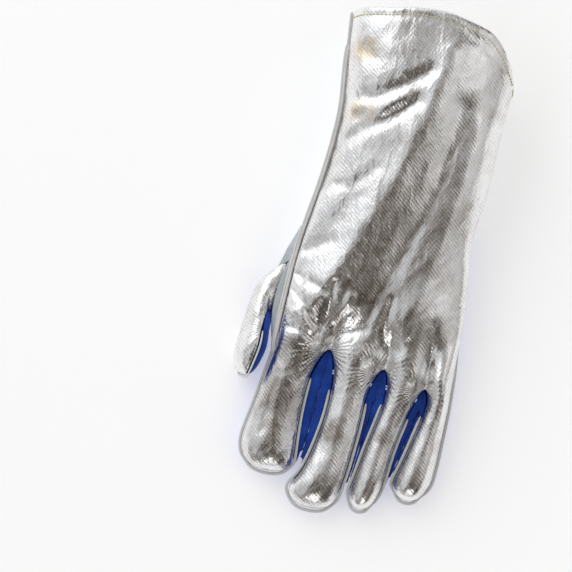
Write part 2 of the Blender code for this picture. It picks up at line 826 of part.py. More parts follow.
def stand_on_origin(items):
    """Moves every mesh so that the glove stands on the middle of its box's floor."""
    points = [vertex.co for item in items for vertex in item.data.vertices]
    low = Vector(tuple(min(point[k] for point in points) for k in range(3)))
    high = Vector(tuple(max(point[k] for point in points) for k in range(3)))
    shift = Vector((-(low.x + high.x) / 2, -(low.y + high.y) / 2, -low.z))
    for item in items:
        for vertex in item.data.vertices:
            vertex.co += shift
    return shift


FINISHES = {
    "back_panel": FOIL,
    "thumb_back": FOIL,
    "palm_panel": BLUE_SUEDE,
    "middle_finger_palm": BLUE_SUEDE,
    "ring_finger_palm": BLUE_SUEDE,
    "thumb_palm": BLUE_SUEDE,
    "fourchette_index_middle": BLUE_SUEDE,
    "fourchette_middle_ring": BLUE_SUEDE,
    "fourchette_ring_little": BLUE_SUEDE,
    "palm_cuff": GREY_SUEDE,
}


def main():
    clear_scene()
    skin, grids = build_skin()
    normals = skin.normals()
    uses = skin.edge_uses()
    faces_at = {}
    for faces in skin.pieces.values():
        for face in faces:
            for corner in face:
                faces_at.setdefault(corner, []).append(skin.face_normal(face))
    paths = welt_paths(grids)
    wide = {frozenset(pair) for path in paths.values() for pair in zip(path, path[1:])}
    crotch = {corner for corner, wall in skin.walls.items() if wall == CROTCH_WALL}
    wide |= {edge for edge in uses if edge <= crotch}
    items = []
    for name, finish in FINISHES.items():
        items.append(walled_piece(skin, name, finish, normals, faces_at, uses, wide))
    for name, path in paths.items():
        items.append(welt(skin, name, path, normals))
    palm_normals = [[normals[corner] for corner in row] for row in grids["palm"]]
    items.append(palm_patch(grids["palm_points"], palm_normals))
    shift = stand_on_origin(items)
    print("moved by", tuple(round(value, 5) for value in shift))


main()
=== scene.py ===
# %% [markdown]
# # A welding glove with an aluminized back
# The glove lies palm down. Its back is cloth with a mirror-bright foil on it, its palm is blue suede, its
# cuff is grey suede underneath, and grey leather piping sits in the seams. The solids that come from CAD
# have the true cut and the true hollow. This lesson turns them into soft goods: it rounds them, presses
# folds into them, sews them and gives each leather and the foil its own finish.

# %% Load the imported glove
import math

import bmesh
import bpy
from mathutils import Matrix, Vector, noise
from mathutils.bvhtree import BVHTree
from mathutils.kdtree import KDTree


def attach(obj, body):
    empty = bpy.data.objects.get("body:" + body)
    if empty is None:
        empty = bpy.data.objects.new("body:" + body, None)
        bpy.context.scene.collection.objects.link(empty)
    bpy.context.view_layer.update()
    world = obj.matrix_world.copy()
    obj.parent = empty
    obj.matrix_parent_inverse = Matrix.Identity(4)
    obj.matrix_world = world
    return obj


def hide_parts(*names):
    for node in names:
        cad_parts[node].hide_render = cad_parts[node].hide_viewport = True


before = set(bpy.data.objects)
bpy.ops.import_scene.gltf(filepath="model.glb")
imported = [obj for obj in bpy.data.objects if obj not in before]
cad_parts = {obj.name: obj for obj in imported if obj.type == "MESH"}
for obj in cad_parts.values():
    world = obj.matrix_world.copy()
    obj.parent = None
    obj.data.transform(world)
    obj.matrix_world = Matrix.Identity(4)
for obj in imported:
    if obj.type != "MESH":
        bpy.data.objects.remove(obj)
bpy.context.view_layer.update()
MM = 0.001

# %% [markdown]
# The camera looks straight down, turned by 12 degrees, as in the photograph. A long lens keeps the sides of
# the fingers from spreading. The same numbers turn a place in the picture into a place on the glove, which
# is how the folds further down are put where the real ones are.

# %% The camera, and a ruler from picture to glove
VIEW_TURN = math.radians(12)
VIEW_CENTRE = Vector((-52.0 * MM, -27.6 * MM))
VIEW_WIDTH = 394.7 * MM
PICTURE = 572
GLOVE_HEIGHT = 40 * MM
LENS = 250
SENSOR = 36

camera_data = bpy.data.cameras.new("camera")
camera_data.lens = LENS
camera_data.sensor_width = SENSOR
camera = bpy.data.objects.new("camera", camera_data)
bpy.context.scene.collection.objects.link(camera)
camera.location = (VIEW_CENTRE.x, VIEW_CENTRE.y, GLOVE_HEIGHT + VIEW_WIDTH * LENS / SENSOR)
camera.rotation_euler = (0, 0, VIEW_TURN)
bpy.context.scene.camera = camera

ACROSS = Vector((math.cos(VIEW_TURN), math.sin(VIEW_TURN)))
UPWARD = Vector((-math.sin(VIEW_TURN), math.cos(VIEW_TURN)))


def seen_at(px, py):
    """The place on the table under a pixel of the picture."""
    scale = VIEW_WIDTH / PICTURE
    return VIEW_CENTRE + ACROSS * (px - PICTURE / 2) * scale + UPWARD * (PICTURE / 2 - py) * scale


print("camera height:", round(camera.location.z, 3), "m")

# %% [markdown]
# The glove lies on a plain floor that has no edge in the picture. It is staged, so it is part of the scene
# but not of the glove.

# %% Floor
floor_mesh = bpy.data.meshes.new("floor")
floor_mesh.from_pydata([(-3, -3, 0), (3, -3, 0), (3, 3, 0), (-3, 3, 0)], [], [(0, 1, 2, 3)])
floor = bpy.data.objects.new("floor", floor_mesh)
bpy.context.scene.collection.objects.link(floor)
print("floor corners:", len(floor_mesh.vertices))

# %% [markdown]
# Node trees are easier to read as sums. A Field is one number of a shader, and it can be added, multiplied
# and bent. A Finish is one material: its node method adds any other node.


# %% Shader arithmetic
class Field:
    """One number that varies over a surface, as a socket that takes part in sums."""

    def __init__(self, finish, socket):
        self.finish = finish
        self.socket = socket

    def sum_with(self, other, operation):
        return self.finish.node("ShaderNodeMath", {0: self, 1: other}, operation=operation)

    def __add__(self, other):
        return self.sum_with(other, "ADD")

    def __sub__(self, other):
        return self.sum_with(other, "SUBTRACT")

    def __mul__(self, other):
        return self.sum_with(other, "MULTIPLY")

    def __rsub__(self, other):
        return self * -1 + other

    __radd__ = __add__
    __rmul__ = __mul__

    def turn_to(self, other):
        """The angle of a place whose sideways and lengthways distances are other and this one."""
        return self.sum_with(other, "ARCTAN2")

    def root(self):
        return self.finish.node("ShaderNodeMath", {0: self}, operation="SQRT")

    def wave(self):
        return self.finish.node("ShaderNodeMath", {0: self}, operation="SINE")

    def between(self, low, high):
        """0 below low, 1 above high, and a smooth step from one to the other."""
        values = {"Value": self, "From Min": low, "From Max": high}
        return self.finish.node("ShaderNodeMapRange", values, interpolation_type="SMOOTHSTEP")


class Finish:
    """A material with one Principled shader, whose node method adds and wires any node."""

    def __init__(self, name, **constants):
        self.material = bpy.data.materials.new(name)
        self.material.use_nodes = True
        self.tree = self.material.node_tree
        self.shader = next(n for n in self.tree.nodes if n.type == "BSDF_PRINCIPLED")
        for socket, value in constants.items():
            self.shader.inputs[socket.replace("_", " ")].default_value = value

    def node(self, kind, inputs=None, out=0, **settings):
        made = self.tree.nodes.new(kind)
        for key, value in settings.items():
            setattr(made, key, value)
        for key, value in (inputs or {}).items():
            if isinstance(value, Field):
                self.tree.links.new(value.socket, made.inputs[key])
            else:
                made.inputs[key].default_value = value
        return Field(self, made.outputs[out])

    def place(self, scale=(1, 1, 1), turn=(0, 0, 0)):
        """The place on the piece, in millimetres, stretched or turned for a pattern."""
        spot = self.node("ShaderNodeTexCoord", out="Object")
        stretch = tuple(share / MM for share in scale)
        return self.node("ShaderNodeMapping", {"Vector": spot, "Rotation": turn, "Scale": stretch})

    def cloud(self, size, detail=3.0, rough=0.5, scale=(1, 1, 1), turn=(0, 0, 0), kind="FBM"):
        """Soft noise whose lumps are about size millimetres wide."""
        values = {"Vector": self.place(scale, turn), "Scale": 1 / size, "Detail": detail, "Roughness": rough}
        if kind != "FBM":
            values |= {"Offset": 0.9, "Gain": 1.6}
        return self.node("ShaderNodeTexNoise", values, noise_type=kind)

    def blend(self, share, first, second):
        """One colour turning into another."""
        return self.node("ShaderNodeMix", {0: share, 6: first, 7: second}, out=2, data_type="RGBA")

    def wear(self, socket, value):
        """Lets a field decide one of the shader's sockets."""
        self.tree.links.new(value.socket, self.shader.inputs[socket])

    def relief(self, height):
        """Bumps whose height is in millimetres."""
        bump = self.node("ShaderNodeBump", {"Height": height, "Distance": MM, "Strength": 1.0})
        self.wear("Normal", bump)


WHITE = (1, 1, 1, 1)
paper = Finish("studio_floor", Roughness=0.9, Emission_Color=WHITE, Emission_Strength=0.42)
paper.wear("Base Color", paper.blend(paper.cloud(300), (0.88, 0.88, 0.88, 1), (0.9, 0.9, 0.9, 1)))
floor.data.materials.append(paper.material)

# %% [markdown]
# Foil shows what is around it more than its own colour, so the room matters. Round the table the world has
# soft pale panels and darker, warmer gaps between them: a noise decides where they are, and a lean makes the
# side of the window brighter. Three large soft lamps stand outside the picture.

# %% The room's light
ROOM_TONES = (
    # place on the ramp, colour
    (0.36, (0.022, 0.014, 0.008, 1)),
    (0.42, (0.130, 0.085, 0.045, 1)),
    (0.475, (0.400, 0.395, 0.390, 1)),
    (0.62, (0.70, 0.71, 0.73, 1)),
)
PANEL_SCALE = 3.0
PANEL_DETAIL = 1.5
TOWARDS_WINDOW = (-0.16, 0.14, 0.0)

world = bpy.data.worlds.new("studio")
bpy.context.scene.world = world
world.use_nodes = True
room = world.node_tree
room.nodes.clear()
heading = room.nodes.new("ShaderNodeTexCoord")
panels = room.nodes.new("ShaderNodeTexNoise")
panels.inputs["Scale"].default_value = PANEL_SCALE
panels.inputs["Detail"].default_value = PANEL_DETAIL
lean = room.nodes.new("ShaderNodeVectorMath")
lean.operation = "DOT_PRODUCT"
lean.inputs[1].default_value = TOWARDS_WINDOW
sum_of_both = room.nodes.new("ShaderNodeMath")
edges = room.nodes.new("ShaderNodeValToRGB")
stops = edges.color_ramp.elements
while len(stops) < len(ROOM_TONES):
    stops.new(1.0)
for stop, (place_on_ramp, tone) in zip(stops, ROOM_TONES):
    stop.position = place_on_ramp
    stop.color = tone
glow = room.nodes.new("ShaderNodeBackground")
glow.inputs["Strength"].default_value = 1.0
out = room.nodes.new("ShaderNodeOutputWorld")
room.links.new(heading.outputs["Generated"], panels.inputs["Vector"])
room.links.new(heading.outputs["Generated"], lean.inputs[0])
room.links.new(panels.outputs["Fac"], sum_of_both.inputs[0])
room.links.new(lean.outputs["Value"], sum_of_both.inputs[1])
room.links.new(sum_of_both.outputs[0], edges.inputs["Fac"])
room.links.new(edges.outputs["Color"], glow.inputs["Color"])
room.links.new(glow.outputs["Background"], out.inputs["Surface"])

LAMP_AIM = Vector((0, 0, 0.03))
LAMPS = (
    # name, place and size in metres, power in watts
    ("window", (-1.20, 0.85, 1.00), 1.70, 8.5),
    ("reflector", (1.25, 0.10, 1.00), 1.60, 4.6),
    ("foot_lamp", (0.15, -1.30, 0.60), 0.50, 1.5),
)
for name, spot, size, power in LAMPS:
    lamp_data = bpy.data.lights.new(name, "AREA")
    lamp_data.size = size
    lamp_data.energy = power
    lamp = bpy.data.objects.new(name, lamp_data)
    bpy.context.scene.collection.objects.link(lamp)
    lamp.location = spot
    lamp.rotation_euler = (LAMP_AIM - Vector(spot)).to_track_quat("-Z", "Y").to_euler()
bpy.context.scene.view_settings.view_transform = "Standard"
print("lamps:", len(LAMPS))

# %% [markdown]
# Aluminized cloth is a film on a twill weave. Three things make it read as that and not as steel: long
# creases that fork, a finer crackle between them, and the diagonal ribs of the twill that print through the
# film. All three are relief, because a mirror has hardly any colour to vary. Round the corners between the
# fingers the relief also has pleats that fan out. In a few places the foil mirrors something brown or warm
# gold that stands outside the picture. These reflections are painted into the film's colour there.

# %% The foil
CORNERS = (
    # place in the picture where a gap between fingers starts, how hard the cloth puckers there
    (324, 350, 1.0),
    (376, 372, 0.8),
    (417, 392, 0.6),
    (266, 328, 0.7),
)
# painted reflections: brown patches painted where the foil would mirror dark brown surroundings, and painted
# gold glints
REFLECTED_BROWN = (0.27, 0.225, 0.19, 1)
REFLECTED_GOLD = (0.90, 0.74, 0.52, 1)
PAINTED_REFLECTIONS = (
    # place in the picture, reach in millimetres, colour
    (276, 398, 24, REFLECTED_BROWN),
    (268, 432, 17, REFLECTED_BROWN),
    (296, 352, 17, REFLECTED_BROWN),
    (326, 318, 17, REFLECTED_BROWN),
    (366, 290, 22, REFLECTED_BROWN),
    (334, 432, 14, REFLECTED_BROWN),
    (386, 438, 9, REFLECTED_BROWN),
    (366, 50, 12, REFLECTED_GOLD),
    (362, 112, 12, REFLECTED_GOLD),
)
PAINTED_REFLECTION_SHARE = 0.85
FULL_TURN = 2 * math.pi
SLANT = math.radians(35)
# distances and heights of the relief, in millimetres
TWILL_PITCH = 2.6
CROSS_PITCH = 2.4
CREASE_HEIGHT = 0.24
CRACKLE_HEIGHT = 0.075
RIB_HEIGHT = 0.022
CROSS_RIB_HEIGHT = 0.010
PLEAT_HEIGHT = 0.11
PLEAT_REACH = 34
PLEAT_COUNT = 34
# the little finger's side is drawn smooth and the thumb's side is crumpled
CALM_FROM = -25
CALM_TO = 45
CALM_SHARE = 0.62

foil = Finish("aluminized_foil", Metallic=1.0)
creases = foil.cloud(14, 5, 0.6, scale=(1.0, 0.45, 1.0), turn=(0, 0, SLANT), kind="RIDGED_MULTIFRACTAL")
crackle = foil.cloud(4.5, 4, 0.65, scale=(1.0, 0.5, 1.0), turn=(0, 0, SLANT), kind="RIDGED_MULTIFRACTAL")
across = foil.node("ShaderNodeSeparateXYZ", {0: foil.place()})
along = Field(foil, across.socket.node.outputs["Y"])
wander = foil.cloud(9, 2)
ribs = ((across * 0.8 + along) * (FULL_TURN / TWILL_PITCH) + wander * 5.0).wave()
cross_ribs = ((across - along * 0.55) * (FULL_TURN / CROSS_PITCH) + wander * 4.0).wave()


def from_place(px, py):
    """Sideways, lengthways and straight distance from a place in the picture, in millimetres."""
    centre = seen_at(px, py) / MM
    sideways = across - centre.x
    lengthways = along - centre.y
    return sideways, lengthways, (sideways * sideways + lengthways * lengthways).root()


calm = (across + along * -0.1).between(CALM_FROM, CALM_TO)
height = (creases * CREASE_HEIGHT + crackle * CRACKLE_HEIGHT) * (1 - calm * CALM_SHARE)
height = height + ribs * RIB_HEIGHT + cross_ribs * CROSS_RIB_HEIGHT
for px, py, strength in CORNERS:
    sideways, lengthways, away = from_place(px, py)
    pleats = (lengthways.turn_to(sideways) * PLEAT_COUNT + wander * 7 + creases * 2).wave()
    near = (PLEAT_REACH - away).between(0, 30) * away.between(1, 7)
    height = height + pleats * near * (PLEAT_HEIGHT * strength)
foil.relief(height)

shine = (foil.cloud(30, 4) * 0.9 + ribs * 0.09 + crackle * 0.1).between(0.15, 0.65)
metal_and_painted_reflections = foil.blend(shine, (0.56, 0.54, 0.52, 1), (0.92, 0.92, 0.92, 1))
broken = (creases * 0.25 + ribs * 0.15).between(-0.1, 0.4)
# paints the brown reflections and gold glints into the foil's colour, broken up by the creases and ribs
for px, py, reach, colour in PAINTED_REFLECTIONS:
    away = from_place(px, py)[2]
    patch = (reach - away + wander * 8 - 4).between(0, reach * 0.7)
    metal_and_painted_reflections = foil.blend(patch * broken * PAINTED_REFLECTION_SHARE, metal_and_painted_reflections, colour)
foil.wear("Base Color", metal_and_painted_reflections)
foil.wear("Roughness", foil.cloud(4, 3) * 0.16 + 0.20)
print("corners with pleats:", len(CORNERS), "tinted patches:", len(PAINTED_REFLECTIONS))

# %% [markdown]
# Suede is the fleshy side of leather. Its nap is a fine fuzz that lies in patches, light where it leans one
# way and dark where it leans the other. The blue and the grey hides share one recipe.


# %% The suedes and the piping leather
def suede(name, dark, light, nap, sheen):
    """A napped hide that goes from dark to light in patches, with a fuzz nap millimetres fine."""
    hide = Finish(name, Sheen_Weight=sheen, Sheen_Roughness=0.45, Specular_IOR_Level=0.25)
    patches = hide.cloud(17, 4, 0.6)
    fuzz = hide.cloud(nap, 3, 0.7)
    mood = (patches * 0.6 + fuzz * 0.5).between(0.33, 0.78)
    hide.wear("Base Color", hide.blend(mood, dark, light))
    hide.wear("Roughness", patches * 0.12 + 0.82)
    hide.relief(fuzz * (nap * 0.17) + hide.cloud(4.5, 3) * 0.22 + patches * 0.5)
    return hide


blue = suede("blue_suede", (0.006, 0.040, 0.30, 1), (0.022, 0.105, 0.60, 1), 0.9, 0.25)
grey = suede("grey_suede", (0.43, 0.47, 0.50, 1), (0.64, 0.68, 0.70, 1), 0.9, 0.15)
piping = suede("piping_leather", (0.76, 0.76, 0.74, 1), (0.92, 0.92, 0.90, 1), 0.7, 0.1)
lining = suede("cotton_lining", (0.52, 0.49, 0.42, 1), (0.70, 0.67, 0.59, 1), 1.6, 0.1)
thread = Finish("pale_thread", Roughness=0.7)
thread.wear("Base Color", thread.blend(thread.cloud(1.2), (0.68, 0.63, 0.36, 1), (0.86, 0.82, 0.56, 1)))
thread.relief(thread.cloud(0.3) * 0.05)
print("finishes:", len(bpy.data.materials))

# %% [markdown]
# A CAD solid is flat triangles. A soft copy is made in three moves: weld its corners and join the triangles
# to quads, let a Subdivision Surface round it, and push the points where the real glove has folds. Close to
# a seam the push fades out, so that neighbouring pieces keep their places.

# %% Folds of the aluminized back
CREASES = (
    # height (a valley is negative) and half width in millimetres, then the places in the picture it passes
    (3.4, 10.0, (452, 55), (434, 105), (402, 168), (368, 222), (336, 270), (306, 306)),
    (-2.4, 7.0, (462, 110), (436, 190), (404, 250), (376, 300), (352, 336)),
    (-0.9, 2.0, (349, 18), (380, 17), (420, 19), (452, 28), (480, 45), (500, 67), (508, 82)),
    (2.2, 8.0, (484, 130), (462, 200), (432, 270), (404, 330)),
    (-1.8, 7.0, (350, 200), (322, 240), (298, 272)),
    (-2.6, 3.4, (346, 96), (372, 98), (394, 92), (432, 72)),
    (1.6, 4.5, (350, 108), (378, 110), (404, 96)),
    (-2.6, 3.4, (334, 148), (362, 130), (388, 120), (418, 102)),
    (-2.2, 6.0, (362, 52), (374, 58)),
    (-1.8, 5.0, (356, 116), (370, 110)),
    (-1.4, 3.0, (320, 182), (350, 186), (376, 168)),
    (-1.6, 3.0, (286, 236), (306, 250), (332, 240)),
    (-1.6, 3.0, (282, 264), (300, 276), (324, 290)),
    (-1.9, 2.6, (318, 334), (306, 306), (290, 286)),
    (1.5, 2.6, (314, 330), (296, 312), (280, 304)),
    (-1.7, 2.4, (312, 336), (292, 328), (276, 326)),
    (-1.9, 2.6, (320, 332), (328, 308), (334, 282)),
    (1.4, 2.8, (324, 334), (340, 314), (352, 296)),
    (-1.5, 2.6, (326, 338), (348, 332), (366, 330)),
    (-1.4, 2.6, (380, 352), (384, 328), (392, 300)),
    (-1.2, 2.6, (426, 376), (430, 350), (436, 326)),
    (-1.0, 3.0, (276, 372), (270, 400), (262, 430)),
    (-1.0, 3.2, (338, 392), (330, 424), (322, 456)),
)
PUCKERS = 11
FINE_PUCKERS = 19
PUCKER_SWIRL = 40
PUCKER_REACH = 20 * MM
PUCKER_DEPTH = 0.5 * MM
CRUMPLE = 0.45 * MM
CRUMPLE_MIDDLE = 1.1
CRUMPLE_FINENESS = 75
CRUMPLE_SLANT = 0.6
CRUMPLE_STRETCH = 0.45


def line_distance(point, ends):
    """How far a place lies from a run of straight stretches."""
    best = 1.0
    for first, last in zip(ends[:-1], ends[1:]):
        run = last - first
        share = max(0.0, min(1.0, (point - first).dot(run) / run.length_squared))
        best = min(best, (point - first - run * share).length)
    return best


crease_lines = [(up * MM, half * MM, [seen_at(*spot) for spot in spots]) for up, half, *spots in CREASES]
corner_spots = [(seen_at(px, py), strength) for px, py, strength in CORNERS]


def foil_lift(point):
    """How far the foil stands up or sinks at a place, in metres."""
    flat = Vector((point.x, point.y))
    lift = 0.0
    for depth, width, spots in crease_lines:
        away = line_distance(flat, spots)
        if away < 3 * width:
            lift += depth * math.exp(-((away / width) ** 2))
    for spot, strength in corner_spots:
        arm = flat - spot
        reach = arm.length
        if 2 * MM < reach < 4 * PUCKER_REACH:
            turn = math.atan2(arm.y, arm.x)
            fan = math.sin(PUCKERS * turn + PUCKER_SWIRL * reach) + 0.5 * math.sin(FINE_PUCKERS * turn)
            lift += strength * PUCKER_DEPTH * fan * math.exp(-reach / PUCKER_REACH)
    sideways = point.x - CRUMPLE_SLANT * point.y
    lengthways = CRUMPLE_STRETCH * (point.y + CRUMPLE_SLANT * point.x)
    grain = Vector((sideways, lengthways, point.z)) * CRUMPLE_FINENESS
    rough = noise.ridged_multi_fractal(grain, 0.9, 2.1, 4, 1.0, 2.0, noise_basis="PERLIN_ORIGINAL")
    return lift + CRUMPLE * (rough - CRUMPLE_MIDDLE)


print("folds:", len(CREASES), "puckered corners:", len(corner_spots))

# %% [markdown]
# Every CAD node gets its own soft copy and its own finish. Foil is pressed along the folds above, and hides
# get shallow hollows from a noise. The strips between the fingers swell until they close the gap, and the
# faces of the foil pieces that look into the glove carry a plain lining instead of foil.

# %% Which piece wears what
PIECES = {
    # node: (finish, slot, subdivision levels, kind of folds)
    "back_panel": (foil, "aluminized_cloth", 2, "foil"),
    "thumb_back": (foil, "aluminized_cloth", 3, "foil"),
    "palm_panel": (blue, "blue_suede", 2, "hide"),
    "middle_finger_palm": (blue, "blue_suede", 3, "hide"),
    "ring_finger_palm": (blue, "blue_suede", 3, "hide"),
    "thumb_palm": (blue, "blue_suede", 3, "hide"),
    "fourchette_index_middle": (blue, "blue_suede", 3, "hide"),
    "fourchette_middle_ring": (blue, "blue_suede", 3, "hide"),
    "fourchette_ring_little": (blue, "blue_suede", 3, "hide"),
    "palm_cuff": (grey, "grey_suede", 2, "hide"),
    "palm_reinforcement": (grey, "grey_suede", 3, "hide"),
    "welt_index_side": (piping, "welt_leather", 2, None),
    "welt_little_side": (piping, "welt_leather", 2, None),
    "welt_middle": (piping, "welt_leather", 2, None),
    "welt_ring": (piping, "welt_leather", 2, None),
    "welt_middle_base": (piping, "welt_leather", 2, None),
    "welt_ring_base": (piping, "welt_leather", 2, None),
    "welt_thumb": (piping, "welt_leather", 2, None),
}
# folds fade out between these two distances from the next piece
FADE_NEAR = 1.0 * MM
FADE_FAR = 11 * MM
HIDE_DEPTH = 0.9 * MM
HIDE_FINENESS = 45
PALM_TOP = 20 * MM
SWELL_START = 0.3 * MM
SWELL_REACH = 16 * MM
SWELL_GAP = 0.05 * MM
SWELL_EASE = 2.5 * MM
UNDER_THE_FOIL = ("palm_panel", "palm_cuff", "thumb_palm", "middle_finger_palm", "ring_finger_palm")
INSIDE_LEAN = Vector((0, 0, 0.6))
FARTHEST_WALL = 90 * MM
FLAT_ENOUGH = math.radians(60)
WELD = 1e-6
print("pieces to dress:", len(PIECES))


# %% Soft copies of the CAD pieces
def welded(name):
    """A bmesh of a CAD node with its corners welded and its triangles joined to quads."""
    shape = bmesh.new()
    shape.from_mesh(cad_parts[name].data)
    bmesh.ops.remove_doubles(shape, verts=shape.verts, dist=WELD)
    bmesh.ops.join_triangles(
        shape,
        faces=shape.faces,
        angle_face_threshold=FLAT_ENOUGH,
        angle_shape_threshold=FLAT_ENOUGH,
    )
    return shape


def rounded(name, levels):
    """The rounded mesh of a CAD node, as a new object."""
    shape = welded(name)
    mesh = bpy.data.meshes.new("soft_" + name)
    shape.to_mesh(mesh)
    shape.free()
    piece = bpy.data.objects.new("soft_" + name, mesh)
    bpy.context.scene.collection.objects.link(piece)
    subdivision = piece.modifiers.new("round", "SUBSURF")
    subdivision.levels = subdivision.render_levels = levels
    subdivision.use_limit_surface = False
    deps = bpy.context.evaluated_depsgraph_get()
    smooth_mesh = bpy.data.meshes.new_from_object(piece.evaluated_get(deps))
    piece.modifiers.clear()
    piece.data = smooth_mesh
    for face in smooth_mesh.polygons:
        face.use_smooth = True
    return piece


def neighbours_of(name):
    """A search tree of all the other nodes' corners."""
    spots = []
    for other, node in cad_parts.items():
        if other != name:
            spots += [vertex.co.copy() for vertex in node.data.vertices]
    tree = KDTree(len(spots))
    for number, spot in enumerate(spots):
        tree.insert(spot, number)
    tree.balance()
    return tree


def pressed(piece, name, kind):
    """Pushes the points of a piece where the real one has folds, and less near a seam."""
    tree = neighbours_of(name)
    for vertex in piece.data.vertices:
        gap = tree.find(vertex.co)[2]
        share = max(0.0, min(1.0, (gap - FADE_NEAR) / (FADE_FAR - FADE_NEAR)))
        share = share * share * (3 - 2 * share)
        if kind == "foil":
            vertex.co.z += foil_lift(vertex.co) * share
        else:
            hollow = abs(noise.fractal(vertex.co * HIDE_FINENESS, 0.9, 2.0, 3)) * HIDE_DEPTH
            inward = 1 if vertex.co.z < PALM_TOP else -1
            vertex.co.z += inward * hollow * share


def filled(piece):
    """Lets the two sides of a strip between fingers swell until they nearly meet, as stuffed suede does."""
    tree = BVHTree.FromObject(piece, bpy.context.evaluated_depsgraph_get())
    others = neighbours_of(piece.name.replace("soft_", ""))
    moves = []
    for vertex in piece.data.vertices:
        side = Vector((vertex.normal.x, vertex.normal.y, 0))
        if side.length < 0.5:
            continue
        side.normalize()
        hit, _, _, gap = tree.ray_cast(vertex.co + side * SWELL_START, side, SWELL_REACH)
        from_seam = others.find(vertex.co)[2] - FADE_NEAR
        if hit is None or from_seam < 0:
            continue
        share = min(1.0, from_seam / SWELL_EASE)
        moves.append((vertex.index, side * max(0.0, gap / 2 - SWELL_GAP) * share))
    for number, move in moves:
        piece.data.vertices[number].co += move


def lined(piece):
    """Gives the faces that look into the glove a lining, because only the outside carries foil."""
    piece.data.materials.append(lining.material)
    deps = bpy.context.evaluated_depsgraph_get()
    walls = [BVHTree.FromObject(piece, deps)]
    walls += [BVHTree.FromObject(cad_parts[other], deps) for other in UNDER_THE_FOIL]
    for face in piece.data.polygons:
        aim = (face.normal + INSIDE_LEAN).normalized()
        start = face.center + aim * MM
        meets_wall = any(wall.ray_cast(start, aim, FARTHEST_WALL)[0] is not None for wall in walls)
        face.material_index = int(meets_wall)


# %% Dress the glove
soft = {}
for name, (finish, slot, levels, kind) in PIECES.items():
    piece = rounded(name, levels)
    if kind:
        pressed(piece, name, kind)
    if name.startswith("fourchette"):
        filled(piece)
    piece.data.materials.clear()
    piece.data.materials.append(finish.material)
    if kind == "foil":
        lined(piece)
    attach(piece, "root")
    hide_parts(name)
    soft[name] = piece
print("soft pieces:", len(soft), "faces:", sum(len(p.data.polygons) for p in soft.values()))

# %% [markdown]
# The seam on the thumb's side is not a thin cord. A folded leather strip is caught in it, so it reads as two
# low ridges, and where it passes the thumb a tongue of the same leather shows beside it. The strip is swept
# along the middle line of the CAD piping.


# %% The folded strip of the thumb-side seam
def eased(line, times):
    """A line whose inner points have moved towards their neighbours, with its ends kept."""
    for _ in range(times):
        inner = [(a + b * 2 + c) / 4 for a, b, c in zip(line, line[1:], line[2:])]
        line = line[:1] + inner + line[-1:]
    return line


def piping_line(name, low, high, step):
    """The middle line of a piece of piping that runs along the glove, with a point every step."""
    corners = [vertex.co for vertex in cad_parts[name].data.vertices]
    line = []
    for number in range(int((high - low) / step) + 1):
        level = low + number * step
        near = [spot for spot in corners if abs(spot.y - level) < PIPING_SLICE and spot.x < 0]
        if near:
            line.append(sum(near, Vector()) / len(near))
    return eased(line, 3)


def swept(title, line, profile, finish):
    """A closed strip whose section is drawn in (outwards, up) and swept along a line."""
    corners = []
    faces = []
    count = len(profile(0.0))
    for number, spot in enumerate(line):
        before = line[max(0, number - 1)]
        after = line[min(len(line) - 1, number + 1)]
        run = (after - before).normalized()
        outwards = run.cross(Vector((0, 0, 1))).normalized()
        if outwards.x > 0:
            outwards = -outwards
        for out_by, up_by in profile(number / (len(line) - 1)):
            corners.append(spot + outwards * out_by * MM + Vector((0, 0, up_by * MM)))
    for ring in range(len(line) - 1):
        for k in range(count):
            following = (k + 1) % count
            here = ring * count
            there = here + count
            faces.append((here + k, here + following, there + following, there + k))
    faces.append(tuple(range(count)))
    faces.append(tuple(range(len(corners) - 1, len(corners) - count - 1, -1)))
    mesh = bpy.data.meshes.new(title)
    mesh.from_pydata(corners, [], faces)
    shape = bmesh.new()
    shape.from_mesh(mesh)
    bmesh.ops.recalc_face_normals(shape, faces=shape.faces)
    shape.to_mesh(mesh)
    shape.free()
    piece = bpy.data.objects.new(title, mesh)
    bpy.context.scene.collection.objects.link(piece)
    smooth = piece.modifiers.new("round", "SUBSURF")
    smooth.levels = smooth.render_levels = 2
    piece.data = bpy.data.meshes.new_from_object(piece.evaluated_get(bpy.context.evaluated_depsgraph_get()))
    piece.modifiers.clear()
    for face in piece.data.polygons:
        face.use_smooth = True
    piece.data.materials.append(finish.material)
    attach(piece, "root")


def two_ridges(share):
    """The section of the folded strip: two low ridges side by side."""
    end = min(1.0, share * 14, (1 - share) * 14)
    high = 0.5 + 0.5 * end
    return [
        (-0.8, -0.4),
        (-0.8, 0.9 * high),
        (0.0, 1.9 * high),
        (0.9, 1.6 * high),
        (1.2, 1.0 * high),
        (1.5, 1.5 * high),
        (2.3, 1.5 * high),
        (2.9, 0.6 * high),
        (2.7, -0.3),
        (1.0, -0.7),
    ]


def tongue(share):
    """The section of the leather tongue: a flat strip that widens and narrows along its way."""
    wide = 1.2 + 5.0 * math.sin(math.pi * min(1.0, max(0.0, share))) ** 0.7
    middle = wide * 0.5 + 1
    rim = wide + 1
    return [
        (0.6, -0.2),
        (1.4, 0.3),
        (middle, 0.2),
        (rim, -1.0),
        (rim, -2.0),
        (middle, -1.4),
        (0.6, -1.2),
    ]


PIPING_SLICE = 3.2 * MM
seam_line = piping_line("welt_index_side", -100 * MM, 152 * MM, 4 * MM)
swept("thumb_side_strip", seam_line, two_ridges, piping)
tongue_line = piping_line("welt_index_side", -66 * MM, -6 * MM, 3 * MM)
swept("thumb_side_tongue", tongue_line, tongue, grey)
print("strip points:", len(seam_line), "tongue points:", len(tongue_line))

# %% [markdown]
# Stitches are one small shape laid again and again along a line, which is work for Geometry Nodes. The lines
# themselves follow the cut: a seam row runs a few millimetres inside the edge of its piece, so the edge is
# read from the CAD mesh, moved inwards and set down on the soft surface.


